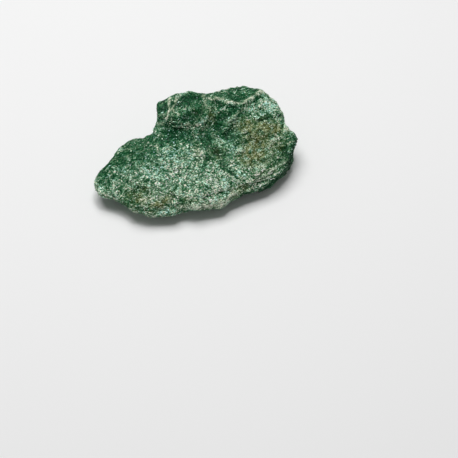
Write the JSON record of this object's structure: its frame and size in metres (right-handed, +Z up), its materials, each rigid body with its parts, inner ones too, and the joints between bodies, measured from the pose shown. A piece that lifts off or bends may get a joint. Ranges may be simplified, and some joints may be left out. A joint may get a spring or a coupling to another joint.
{
  "type": "raw fuchsite stone",
  "caption": "Rough lump of green chromium mica schist with a broad speckled cleavage face, torn sheet edges and a flat underside.",
  "frame": {"origin": "middle of the bounding box, on the plane that the stone rests on", "axes": "+X along the longest extent, +Y away from the viewer towards the raised block, +Z up through the broad face"},
  "size_m": [0.0724, 0.051, 0.0234],
  "materials": {
    "fuchsite": "glittering flakes of green mica with paler torn edges and faint olive stains"
  },
  "bodies": {
    "root": {"fuchsite_stone": "fuchsite"}
  },
  "joints": []
}
